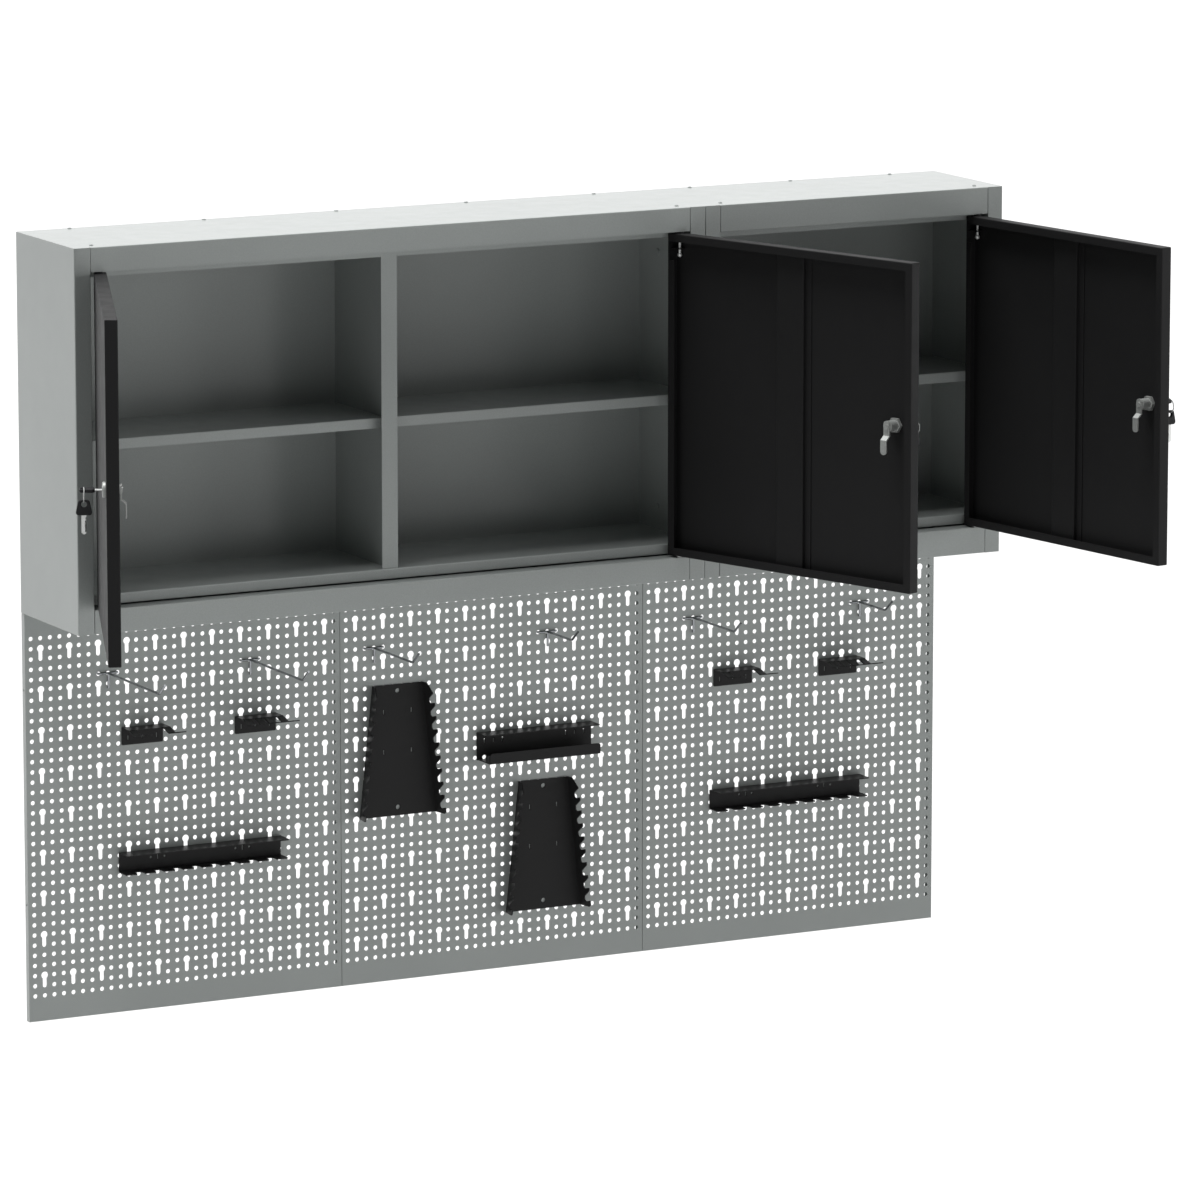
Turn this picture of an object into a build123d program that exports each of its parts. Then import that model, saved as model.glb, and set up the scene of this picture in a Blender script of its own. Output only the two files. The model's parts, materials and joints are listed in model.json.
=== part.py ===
from build123d import *
import math
import os

os.makedirs("parts", exist_ok=True)

# Tool wall: two steel cabinets with open doors over three perforated panels with tool holders.
# Lengths are millimetres. X runs along the wall to the right, Y into the wall, Z up.
# The wall is the plane Y = 0, X = 0 is mid-width and Z = 0 is mid-height of the cabinets.

# Hole grid of the panels
pitch = 15.0
hole_columns = 33
hole_rows = 36
hole_d = 6.5
key_head_d = 10.5
key_slot_w = 6.3
key_first = 1
key_column_step = 3
key_row_step = 4

# Panels
side_margin = 10.0
end_margin = 37.5
panel_gap = 0.8
panel_depth = 10.0
side_return = 6.0
end_return = 20.0
steel = 1.2
flange_bolt_rows = (5, 26)

# Cabinets
cabinet_height = 550.0
cabinet_depth = 205.0
stile = 25.0
stile_return = 20.0
wide_rail = 35.0
narrow_rail = 40.0
stop_lip = 10.0
latch_lip = 15.0
floor_rise = 17.0
floor_lip = 14.5
top_flange = 48.0
back_flange = 15.0
divider_flange = 25.0
divider_headroom = 8.0
shelf_height = 270.0
shelf_lip = 15.0
shelf_setback = 40.0
shelf_clear = 0.5
shelf_lip_inset = 4.0
rail_seam = 0.6
wall_hole_d = 8.0
wall_hole_inset = 60.0
wall_hole_drop = 50.0
wall_hole_under = 25.0

# Doors
door_thick = 18.0
door_rim = 12.0
free_gap = 2.0
end_gap = 2.5
swing_clear = 0.6
pin_inset = 12.0
pin_depth = 6.0
left_open = 112.0
middle_open = 109.0
right_open = 99.0
stiffener_width = 49.0
stiffener_foot = 12.0
stiffener_shift = 5.0
stiffener_rise = 7.0

# Hinges
run_clear = 0.05
top_pin_d = 4.0
top_pin_drop = 32.0
top_pin_ball_d = 7.0
guide_drop = 22.0
guide_reach = 7.0
low_pin_d = 6.0
low_pin_reach = 8.0
bush_edge = 0.4
bush_gap = 0.4
bush_spigot_d = 8.0
rivet_head_h = 2.0

# Locks and keys
lock_inset = 42.0
lock_face_d = 22.0
lock_face_h = 4.0
lock_body_d = 16.0
lock_body_l = 20.0
lock_clear = 0.1
nut_flats = 20.0
nut_h = 5.0
plug_d = 11.0
plug_proud = 0.3
neck_d = 8.0
cam_l = 40.0
cam_w = 11.0
cam_round = 5.0
cam_t = 2.0
cam_clear = 1.0
cam_joggle = 14.0
cam_slope = 6.0
cam_screw_d = 8.0
cam_screw_h = 1.6
cam_screw_core = 3.0
cam_screw_l = 6.0
key_blade_w = 7.0
key_blade_t = 2.0
key_blade_in = 12.0
key_blade_clear = 0.15
bow_w = 24.0
bow_end_w = 15.0
bow_l = 21.0
bow_t = 5.0
bow_neck = 10.0
bow_hole_d = 8.0
bow_hole_edge = 6.0
bow_corner = 4.0
ring_d = 20.0
ring_wire = 1.6
ring_drop = 5.5
ring_side = 7.25
spare_l = 33.0
spare_notch = 2.2
spare_notches = 4

# Bolts and screws
screw_d = 3.6
screw_head_d = 6.0
screw_head_h = 1.6
screw_l = 6.0
screw_clear = 0.2
screw_inset = 36.0
screw_setback = 22.0
back_screw_inset = 80.0
back_screw_setback = 6.0
cabinet_bolt_d = 6.0
cabinet_bolt_head_d = 11.0
cabinet_bolt_y = (60.0, 140.0)
cabinet_bolt_z = 190.0
panel_bolt_d = 3.5
panel_bolt_head_d = 6.0
panel_bolt_y = 5.0
bolt_head_h = 2.5
bolt_clear = 0.3
clip_l = 10.0
clip_w = 12.0
clip_h = 6.0
clip_inset = 30.0

# Tool holders
holder_steel = 1.5
tab_w = 4.6
tab_h = 3.8
tab_low = 1.9
tab_head_w = 8.4
tab_head_h = 8.0
tab_clear = 0.1
slit_w = 2.0
slit_h = 7.0
slit_drop = 7.5
small_hole_d = 3.5

hook_row = 4
hook_wire = 3.5
hook_peg = 8.0
hook_leg = 22.0
hook_rise = 16.0
hook_tip = 20.0
hook_bend = 12.0
long_hook = 200.0
middle_hook = 150.0
short_hook = 100.0

bracket_row = 10
bracket_w = 65.0
bracket_up = 8.5
bracket_down = 18.0
bracket_flange = 28.0
bracket_tab_columns = 3
prong_w = 11.0
prong_outer = 27.0
prong_inner = 7.5
prong_sag_at = 46.0
prong_sag = 5.0
prong_reach = 85.0
prong_rise = 3.5

rack_row = 22
rack_w = 258.0
rack_up = 4.6
rack_down = 25.2
rack_top = 32.0
rack_bottom = 27.0
rack_tab_columns = 9
rack_hole_shift = 11.0
notch_count = 8
notch_step = 30.0
notch_w = 12.0
notch_l = 15.0

wrench_top_w = 82.0
wrench_bottom_w = 125.0
wrench_up = 33.0
wrench_down = 164.0
wrench_flange = 29.0
wrench_corner = 16.0
wrench_foot = 3.0
wrench_spread = 8.0
wrench_tab_columns = 3
wrench_tab_rows = 4
wrench_hole_d = 7.0
wrench_hole_high = 10.0
wrench_hole_low = 12.5
slot_count = 9
slot_step = 20.0
slot_first = 10.0
slot_mouth = 15.0
slot_root = 8.0
slot_l = 14.0
slot_dip = 3.4
slot_round = 3.0

tray_row = 14
tray_w = 190.0
tray_lip_w = 184.0
tray_up = 8.5
tray_down = 34.0
tray_top = 31.0
tray_floor = 39.0
tray_lip = 16.0
tray_lip_chamfer = 3.0
tray_cheek = 14.0
tray_cheek_corner = 8.0
tray_tab_columns = 9
tray_slit_drop = 5.2
tray_hole_columns = 11
tray_hole_rows = 2
tray_hole_d = 7.0

# Sizes that follow from the ones above
panel_width = (hole_columns - 1) * pitch + 2 * side_margin
panel_height = (hole_rows - 1) * pitch + 2 * end_margin
top_z = cabinet_height / 2
panel_z = -top_z - panel_height / 2
set_left = -1.5 * panel_width
wide_x = (set_left, set_left + 2 * panel_width)
narrow_x = (wide_x[1], wide_x[1] + panel_width)
wide_mid = (wide_x[0] + wide_x[1]) / 2
front_y = -cabinet_depth
face_y = -panel_depth
hinge_gap = math.hypot(pin_inset, pin_depth) - pin_inset + swing_clear
stop_depth = pin_depth + math.hypot(pin_inset, door_thick - pin_depth) + swing_clear
stop_y = front_y + stop_depth
hinge_y = front_y + pin_depth
hinge_in = stile + hinge_gap + pin_inset
bush_h = end_gap - bush_gap
bush_d = 2 * (pin_depth - bush_edge)
rivet_head_d = 2 * (pin_depth - steel - bush_edge)
wide_door_w = panel_width - stile - hinge_gap - free_gap
narrow_door_w = panel_width - 2 * stile - hinge_gap - free_gap
wide_door_h = cabinet_height - 2 * wide_rail - 2 * end_gap
narrow_door_h = cabinet_height - 2 * narrow_rail - 2 * end_gap
wide_floor = -top_z + wide_rail + floor_rise
narrow_floor = -top_z + narrow_rail + floor_rise
shelf_z = -top_z + shelf_height
hinge_spots = {
    "left": (wide_x[0] + hinge_in, wide_rail),
    "middle": (wide_x[1] - hinge_in, wide_rail),
    "right": (narrow_x[1] - hinge_in, narrow_rail),
}


def slab(x, y, z, mode=Mode.ADD):
    """Box between pairs of limits."""
    with Locations(((x[0] + x[1]) / 2, (y[0] + y[1]) / 2, (z[0] + z[1]) / 2)):
        Box(abs(x[1] - x[0]), abs(y[1] - y[0]), abs(z[1] - z[0]), mode=mode)


def rod(start, end, diameter, mode=Mode.ADD):
    """Round bar between two points."""
    run = Vector(*end) - Vector(*start)
    with Locations(Plane(origin=start, z_dir=run)):
        Cylinder(diameter / 2, run.length, align=(Align.CENTER, Align.CENTER, Align.MIN), mode=mode)


def folded(points, side):
    """Section of a bent sheet from the line of its outer skin."""
    with BuildSketch() as section:
        with BuildLine():
            Polyline(*points)
            offset(amount=steel, side=side, kind=Kind.INTERSECTION)
        make_face()
    return section.sketch


def keep(piece, name):
    piece.part.label = name
    export_step(piece.part, f"parts/{name}.step")


def keep_group(solids, name):
    """Pieces that belong together but stay separate solids."""
    group = Compound(solids)
    group.label = name
    export_step(group, f"parts/{name}.step")


def spot(panel, column, row):
    """X and Z of a place on the hole grid of a panel, counted from 0 at its top left."""
    x = (panel - 1) * panel_width + (column - (hole_columns - 1) / 2) * pitch
    return x, panel_z + ((hole_rows - 1) / 2 - row) * pitch


# Panels

def round_hole(x, z):
    return Wire.make_circle(hole_d / 2, Plane(origin=(x, z, 0)))


def keyhole(x, z):
    head = key_head_d / 2
    half = key_slot_w / 2
    neck = z - math.sqrt(head**2 - half**2)
    foot = z - pitch
    with BuildLine() as edge:
        ThreePointArc((x - half, neck), (x, z + head), (x + half, neck))
        Line((x + half, neck), (x + half, foot))
        ThreePointArc((x + half, foot), (x, foot - half), (x - half, foot))
        Line((x - half, foot), (x - half, neck))
    return edge.wire()


def perforated():
    """Panel face with its round holes and keyholes, drawn about the middle of the hole grid."""
    holes = []
    used = set()
    left = -(hole_columns - 1) / 2 * pitch
    top = (hole_rows - 1) / 2 * pitch
    for column in range(key_first, hole_columns, key_column_step):
        for row in range(key_first, hole_rows - 1, key_row_step):
            holes.append(keyhole(left + column * pitch, top - row * pitch))
            used |= {(column, row), (column, row + 1)}
    for column in range(hole_columns):
        for row in range(hole_rows):
            if (column, row) not in used:
                holes.append(round_hole(left + column * pitch, top - row * pitch))
    side = board_w / 2
    low = -panel_height / 2
    rim = Wire.make_polygon([(-side, low), (side, low), (side, low + board_h), (-side, low + board_h)])
    return Face(rim, holes)


board_w = panel_width - panel_gap
board_h = panel_height - panel_gap
board_back = Plane(origin=(0, 0, panel_z - panel_gap / 2), x_dir=(1, 0, 0), z_dir=(0, -1, 0))
grid_face = Plane(origin=(0, face_y, panel_z), x_dir=(1, 0, 0), z_dir=(0, -1, 0))

with BuildPart() as frame:
    with BuildSketch(board_back):
        Rectangle(board_w, board_h)
        Rectangle(board_w - 2 * side_return, board_h - 2 * end_return, mode=Mode.SUBTRACT)
    extrude(amount=steel)
    with BuildSketch(board_back):
        Rectangle(board_w, board_h)
        Rectangle(board_w - 2 * steel, board_h - 2 * steel, mode=Mode.SUBTRACT)
    extrude(amount=panel_depth - steel)
    for flange_row in flange_bolt_rows:
        bolt_z = spot(1, 0, flange_row)[1]
        rod((-board_w, -panel_bolt_y, bolt_z), (board_w, -panel_bolt_y, bolt_z),
            panel_bolt_d + bolt_clear, Mode.SUBTRACT)

with BuildPart() as face:
    with BuildSketch(grid_face):
        add(perforated())
    extrude(amount=-steel)

for panel, panel_name in enumerate(("left", "middle", "right")):
    place = Location(((panel - 1) * panel_width, 0, 0))
    keep_group([face.part.solid().moved(place), frame.part.solid().moved(place)], f"{panel_name}_pegboard")


# Cabinet shells

def cabinet_side(name, x, inward, rail, latch, joined):
    """Side wall with its front stile; the latch side carries a lip for the lock."""
    edge = Plane(origin=(x, 0, -inward * top_z), x_dir=(inward, 0, 0), z_dir=(0, 0, inward))
    deep = stop_depth if latch else stile_return
    plan = [(0, 0), (0, front_y), (stile, front_y), (stile, front_y + deep)]
    inner = x + inward * steel
    with BuildPart() as piece:
        with BuildSketch(edge):
            add(folded(plan, Side.LEFT))
        extrude(amount=cabinet_height)
        for end in (1, -1):
            slab((inner, x + inward * (stile + steel)), (front_y + steel, 0),
                 (end * (top_z - steel), end * top_z), Mode.SUBTRACT)
            slab((x, x + inward * top_flange), (front_y + steel, -back_flange - steel),
                 (end * (top_z - 2 * steel), end * (top_z - steel)))
        rod((x + inward * screw_inset, front_y + screw_setback, 0),
            (x + inward * screw_inset, front_y + screw_setback, top_z),
            screw_d + screw_clear, Mode.SUBTRACT)
        if latch:
            slab((x + inward * (stile - steel), x + inward * (stile + latch_lip)), (stop_y, stop_y + steel),
                 (narrow_floor, top_z - rail))
        if joined:
            for y in cabinet_bolt_y:
                for z in (cabinet_bolt_z, -cabinet_bolt_z):
                    rod((x, -y, z), (inner, -y, z), cabinet_bolt_d + bolt_clear, Mode.SUBTRACT)
    keep(piece, name)


def back_screw_places(span, count):
    first = span[0] + back_screw_inset
    last = span[1] - back_screw_inset
    return [first + (last - first) * i / (count - 1) for i in range(count)]


def front_screw_places(span):
    return [span[0] + screw_inset, span[1] - screw_inset]


def cabinet_top(name, span, rail, hinges, latch, count):
    """Roof, front rail and the stop lip behind the doors."""
    low = top_z - rail
    section = [(0, top_z), (front_y, top_z), (front_y, low), (stop_y, low), (stop_y, low - stop_lip)]
    with BuildPart() as piece:
        with BuildSketch(Plane.YZ.offset(span[0] + steel)):
            add(folded(section, Side.LEFT))
        extrude(amount=span[1] - span[0] - 2 * steel)
        for x, inward in ((span[0], 1), (span[1], -1)):
            corner = (x + inward * steel, x + inward * (stile + rail_seam))
            slab(corner, (front_y, front_y + steel), (low - stop_lip, top_z), Mode.SUBTRACT)
            slab(corner, (front_y + steel, stop_y + steel), (low - stop_lip, top_z - steel), Mode.SUBTRACT)
        if latch:
            slab((span[0] + stile, span[0] + stile + latch_lip), (stop_y, stop_y + steel),
                 (low - stop_lip, low + steel), Mode.SUBTRACT)
        for x in hinges:
            rod((x, hinge_y, low), (x, hinge_y, low + steel), bush_spigot_d, Mode.SUBTRACT)
        for x in front_screw_places(span):
            rod((x, front_y + screw_setback, top_z - steel), (x, front_y + screw_setback, top_z),
                screw_d + screw_clear, Mode.SUBTRACT)
        for x in back_screw_places(span, count):
            rod((x, -back_screw_setback, top_z - steel), (x, -back_screw_setback, top_z),
                screw_d + screw_clear, Mode.SUBTRACT)
    keep(piece, name)


def cabinet_bottom(name, span, rail, hinges):
    """Underside and the lower front rail with its seats for the hinge pins."""
    high = rail - top_z
    section = [(0, -top_z), (front_y, -top_z), (front_y, high), (stop_y, high)]
    with BuildPart() as piece:
        with BuildSketch(Plane.YZ.offset(span[0] + steel)):
            add(folded(section, Side.RIGHT))
        extrude(amount=span[1] - span[0] - 2 * steel)
        for x, inward in ((span[0], 1), (span[1], -1)):
            corner = (x + inward * steel, x + inward * (stile + rail_seam))
            slab(corner, (front_y, front_y + steel), (-top_z, high), Mode.SUBTRACT)
            slab(corner, (front_y + steel, stop_y), (steel - top_z, high), Mode.SUBTRACT)
        for x in hinges:
            rod((x, hinge_y, high - steel), (x, hinge_y, high), low_pin_d, Mode.SUBTRACT)
    keep(piece, name)


def cabinet_floor(name, span, level):
    """Raised floor with its front edge folded down."""
    section = [(-steel, level), (stop_y, level), (stop_y, level - floor_lip)]
    with BuildPart() as piece:
        with BuildSketch(Plane.YZ.offset(span[0] + steel)):
            add(folded(section, Side.LEFT))
        extrude(amount=span[1] - span[0] - 2 * steel)
    keep(piece, name)


def cabinet_back(name, span, count):
    """Back plate with folded ends and four holes for the wall screws."""
    reach = top_z - steel
    section = [(-back_flange, reach), (0, reach), (0, -reach), (-back_flange, -reach)]
    middle = (span[0] + span[1]) / 2
    half = (span[1] - span[0]) / 2 - wall_hole_inset
    with BuildPart() as piece:
        with BuildSketch(Plane.YZ.offset(span[0] + steel)):
            add(folded(section, Side.RIGHT))
        extrude(amount=span[1] - span[0] - 2 * steel)
        for x in (middle - half, middle + half):
            for z in (shelf_z - wall_hole_under, top_z - wall_hole_drop):
                rod((x, -steel, z), (x, 0, z), wall_hole_d, Mode.SUBTRACT)
        for x in back_screw_places(span, count):
            rod((x, -back_screw_setback, reach - steel), (x, -back_screw_setback, reach),
                screw_d + screw_clear, Mode.SUBTRACT)
    keep(piece, name)


def shelf(name, span):
    section = [(-steel - shelf_clear, shelf_z), (front_y + shelf_setback, shelf_z),
               (front_y + shelf_setback, shelf_z - shelf_lip)]
    with BuildPart() as piece:
        with BuildSketch(Plane.YZ.offset(span[0] + shelf_clear)):
            add(folded(section, Side.LEFT))
        extrude(amount=span[1] - span[0] - 2 * shelf_clear)
        for end in (span[0], span[1] - shelf_clear - shelf_lip_inset):
            slab((end, end + shelf_clear + shelf_lip_inset),
                 (front_y + shelf_setback, front_y + shelf_setback + steel),
                 (shelf_z - shelf_lip, shelf_z - steel), Mode.SUBTRACT)
    keep(piece, name)


wide_back_screws = 5
narrow_back_screws = 3
wide_hinges = [hinge_spots["left"][0], hinge_spots["middle"][0]]
narrow_hinges = [hinge_spots["right"][0]]

cabinet_side("wide_left_side", wide_x[0], 1, wide_rail, False, False)
cabinet_side("wide_right_side", wide_x[1], -1, wide_rail, False, True)
cabinet_top("wide_top", wide_x, wide_rail, wide_hinges, False, wide_back_screws)
cabinet_bottom("wide_bottom", wide_x, wide_rail, wide_hinges)
cabinet_floor("wide_floor", wide_x, wide_floor)
cabinet_back("wide_back", wide_x, wide_back_screws)

cabinet_side("narrow_left_side", narrow_x[0], 1, narrow_rail, True, True)
cabinet_side("narrow_right_side", narrow_x[1], -1, narrow_rail, False, False)
cabinet_top("narrow_top", narrow_x, narrow_rail, narrow_hinges, True, narrow_back_screws)
cabinet_bottom("narrow_bottom", narrow_x, narrow_rail, narrow_hinges)
cabinet_floor("narrow_floor", narrow_x, narrow_floor)
cabinet_back("narrow_back", narrow_x, narrow_back_screws)

with BuildPart() as divider:
    divider_z = (wide_floor, top_z - divider_headroom)
    slab((wide_mid - steel / 2, wide_mid + steel / 2), (stop_y + 2 * steel, -steel), divider_z)
    slab((wide_mid - divider_flange / 2, wide_mid + divider_flange / 2),
         (stop_y + steel, stop_y + 2 * steel), divider_z)
keep(divider, "wide_divider")

bays = {
    "wide_left_shelf": (wide_x[0] + steel, wide_mid - steel / 2),
    "wide_right_shelf": (wide_mid + steel / 2, wide_x[1] - steel),
    "narrow_shelf": (narrow_x[0] + steel, narrow_x[1] - steel),
}
for shelf_name, bay in bays.items():
    shelf(shelf_name, bay)

with BuildPart() as shelf_clips:
    clip_z = (shelf_z - steel - clip_h, shelf_z - steel)
    clip_front = front_y + shelf_setback + clip_inset
    for bay in bays.values():
        for y in (clip_front, -clip_inset):
            slab((bay[0], bay[0] + clip_l), (y - clip_w / 2, y + clip_w / 2), clip_z)
            slab((bay[1], bay[1] - clip_l), (y - clip_w / 2, y + clip_w / 2), clip_z)
keep(shelf_clips, "shelf_clips")

with BuildPart() as cabinet_screws:
    places = [(x, front_y + screw_setback) for span in (wide_x, narrow_x) for x in front_screw_places(span)]
    places += [(x, -back_screw_setback) for x in back_screw_places(wide_x, wide_back_screws)]
    places += [(x, -back_screw_setback) for x in back_screw_places(narrow_x, narrow_back_screws)]
    for x, y in places:
        rod((x, y, top_z), (x, y, top_z + screw_head_h), screw_head_d)
        rod((x, y, top_z - screw_l), (x, y, top_z), screw_d)
keep(cabinet_screws, "cabinet_screws")


def bolt(x, y, z, grip, diameter, head):
    """Bolt along X with a head on one side of the joint and a nut on the other."""
    rod((x - grip - bolt_head_h, y, z), (x - grip, y, z), head)
    rod((x - grip, y, z), (x + grip + bolt_head_h, y, z), diameter)
    rod((x + grip, y, z), (x + grip + bolt_head_h, y, z), head)


with BuildPart() as joining_bolts:
    for y in cabinet_bolt_y:
        for z in (cabinet_bolt_z, -cabinet_bolt_z):
            bolt(wide_x[1], -y, z, steel, cabinet_bolt_d, cabinet_bolt_head_d)
    for seam in (-panel_width / 2, panel_width / 2):
        for flange_row in flange_bolt_rows:
            bolt(seam, -panel_bolt_y, spot(1, 0, flange_row)[1], panel_gap / 2 + steel,
                 panel_bolt_d, panel_bolt_head_d)
keep(joining_bolts, "joining_bolts")

with BuildPart() as upper_bushes:
    for x, rail in hinge_spots.values():
        low = top_z - rail
        rod((x, hinge_y, low - bush_h), (x, hinge_y, low), bush_d)
        rod((x, hinge_y, low), (x, hinge_y, low + 2 * steel), bush_spigot_d)
        rod((x, hinge_y, low - bush_h), (x, hinge_y, low + 2 * steel),
            top_pin_d + 2 * run_clear, Mode.SUBTRACT)
keep(upper_bushes, "upper_hinge_bushes")

with BuildPart() as lower_pins:
    for x, rail in hinge_spots.values():
        high = rail - top_z
        rod((x, hinge_y, high), (x, hinge_y, high + bush_h), bush_d)
        rod((x, hinge_y, high - steel), (x, hinge_y, high + end_gap + low_pin_reach), low_pin_d)
        rod((x, hinge_y, high - steel - rivet_head_h), (x, hinge_y, high - steel), rivet_head_d)
keep(lower_pins, "lower_hinge_pins")


def key_bow():
    """Outline of a key's plastic bow, widest at the shoulder, with the shoulder's middle at the origin."""
    with BuildSketch() as bow:
        with BuildLine():
            Polyline((-bow_w / 2, 0), (bow_w / 2, 0), (bow_end_w / 2, -bow_l),
                     (-bow_end_w / 2, -bow_l), close=True)
        make_face()
        fillet(bow.vertices(), bow_corner)
        with Locations((0, bow_hole_edge - bow_l)):
            Circle(bow_hole_d / 2, mode=Mode.SUBTRACT)
    return bow.sketch


# Doors: each is built in its own frame, with x along the door from the hinge axis,
# y towards the inside of the cabinet and z along the axis

def door(name, opening, up, width, height):
    x, rail = hinge_spots[name]
    turn = math.radians(opening)
    along = (up * math.cos(turn), -math.sin(turn), 0)
    axis = Plane(origin=(x, hinge_y, 0), x_dir=along, z_dir=(0, 0, up))
    skin = -pin_depth
    rear = door_thick - pin_depth
    edge = (-pin_inset, width - pin_inset)
    half = height / 2
    top = up * half
    inner = (edge[0] + steel, edge[1] - steel)
    lock_x = edge[1] - lock_inset

    with BuildPart(axis) as pan:
        slab(edge, (skin, skin + steel), (-half, half))
        slab((edge[0], inner[0]), (skin, rear), (-half, half))
        slab((inner[1], edge[1]), (skin, rear), (-half, half))
        slab(edge, (skin, rear), (-half, steel - half))
        slab(edge, (skin, rear), (half - steel, half))
        slab((edge[0], edge[0] + door_rim), (rear - steel, rear), (-half, half))
        slab((edge[1] - door_rim, edge[1]), (rear - steel, rear), (-half, half))
        slab(edge, (rear - steel, rear), (-half, door_rim - half))
        slab(edge, (rear - steel, rear), (half - door_rim, half))
        slab((edge[0] + 2 * steel, edge[0] + door_rim), (rear - steel, rear),
             (top - up * door_rim, top - up * (top_pin_drop + top_pin_ball_d)), Mode.SUBTRACT)
        slab((edge[0], guide_reach), (skin + steel, guide_reach),
             (top - up * guide_drop, top - up * (guide_drop + steel)))
        rod((0, 0, top), (0, 0, top - up * (guide_drop + steel)), top_pin_d + 2 * run_clear, Mode.SUBTRACT)
        rod((0, 0, -top), (0, 0, up * steel - top), low_pin_d + 2 * run_clear, Mode.SUBTRACT)
        rod((lock_x, skin, 0), (lock_x, skin + steel, 0), lock_body_d + 2 * lock_clear, Mode.SUBTRACT)
    keep(pan, f"{name}_door")

    middle = (edge[0] + edge[1]) / 2 - stiffener_shift
    wing = stiffener_width / 2
    foot = wing + stiffener_foot
    crest = skin + stiffener_rise
    hat = [(middle - foot, skin + steel), (middle - wing, skin + steel), (middle - wing, crest),
           (middle + wing, crest), (middle + wing, skin + steel), (middle + foot, skin + steel)]
    with BuildPart() as stiffener:
        with BuildSketch(axis.offset(steel - half)):
            add(folded(hat, Side.LEFT))
        extrude(amount=height - 2 * steel)
    keep(stiffener, f"{name}_door_stiffener")

    pin_low = top - up * top_pin_drop
    with BuildPart(axis) as top_pin:
        rod((0, 0, pin_low), (0, 0, top + up * (end_gap + 2 * steel)), top_pin_d)
        with Locations((0, 0, pin_low)):
            Sphere(top_pin_ball_d / 2)
    keep(top_pin, f"{name}_top_hinge_pin")

    press = Axis(axis.origin, axis.y_dir)
    with BuildPart(axis) as lock_body:
        rod((lock_x, skin - lock_face_h, 0), (lock_x, skin, 0), lock_face_d)
        rod((lock_x, skin, 0), (lock_x, skin + lock_body_l, 0), lock_body_d)
        fillet(lock_body.edges().filter_by(GeomType.CIRCLE).group_by(press)[0], lock_face_h / 3)
        rod((lock_x, skin - lock_face_h, 0), (lock_x, skin + lock_body_l, 0),
            plug_d + 2 * run_clear, Mode.SUBTRACT)
    keep(lock_body, f"{name}_lock_body")

    lock_seat = axis.from_local_coords((lock_x, skin + steel, 0))
    seat = Plane(origin=lock_seat, x_dir=axis.x_dir, z_dir=axis.y_dir)
    with BuildPart() as nut:
        with BuildSketch(seat):
            RegularPolygon(nut_flats / math.sqrt(3), 6)
            Circle(lock_body_d / 2, mode=Mode.SUBTRACT)
        extrude(amount=nut_h)
    keep(nut, f"{name}_lock_nut")

    face = skin - lock_face_h - plug_proud
    cam_y = skin + lock_body_l + plug_proud
    cam_back = cam_y + cam_t
    hook_y = skin + stop_depth + 2 * steel + cam_clear
    down = Vector(0, 0, -1)
    blade = Plane(origin=axis.from_local_coords((lock_x, 0, 0)), x_dir=down, z_dir=down.cross(axis.y_dir))
    with BuildPart(axis) as plug:
        rod((lock_x, face, 0), (lock_x, cam_y, 0), plug_d)
        rod((lock_x, cam_y, 0), (lock_x, cam_back, 0), neck_d)
        slab((lock_x - key_blade_w / 2 - key_blade_clear, lock_x + key_blade_w / 2 + key_blade_clear),
             (face, skin + key_blade_in + key_blade_clear),
             (-key_blade_t / 2 - key_blade_clear, key_blade_t / 2 + key_blade_clear), Mode.SUBTRACT)
        rod((lock_x, cam_back - cam_screw_l, 0), (lock_x, cam_back, 0), cam_screw_core, Mode.SUBTRACT)
    with BuildPart() as cam:
        with BuildSketch(blade):
            with BuildLine():
                Polyline((-cam_w * 0.75, cam_y), (cam_joggle, cam_y), (cam_joggle + cam_slope, hook_y),
                         (cam_l, hook_y))
                offset(amount=cam_t, side=Side.LEFT, kind=Kind.INTERSECTION)
            make_face()
        extrude(amount=cam_w / 2, both=True)
        corners = cam.edges().filter_by(press).group_by(Axis.Z)
        fillet(corners[0] + corners[-1], cam_round)
        with BuildSketch(seat.offset(cam_y - skin - steel)):
            Circle(neck_d / 2)
        extrude(amount=cam_t, mode=Mode.SUBTRACT)
    with BuildPart(axis) as cam_screw:
        rod((lock_x, cam_back, 0), (lock_x, cam_back + cam_screw_h, 0), cam_screw_d)
        rod((lock_x, cam_back - cam_screw_l, 0), (lock_x, cam_back, 0), cam_screw_core)
    keep_group([plug.part.solid(), cam.part.solid(), cam_screw.part.solid()], f"{name}_lock_cam")

    bow_y = face - bow_neck
    hole_y = bow_y - bow_l + bow_hole_edge
    bow = key_bow()
    with BuildPart(axis) as key:
        with BuildSketch(axis.offset(-bow_t / 2)):
            with Locations((lock_x, bow_y)):
                add(bow)
        extrude(amount=bow_t)
        slab((lock_x - key_blade_w / 2, lock_x + key_blade_w / 2), (bow_y - run_clear, skin + key_blade_in),
             (-key_blade_t / 2, key_blade_t / 2))
    keep(key, f"{name}_key")

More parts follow.
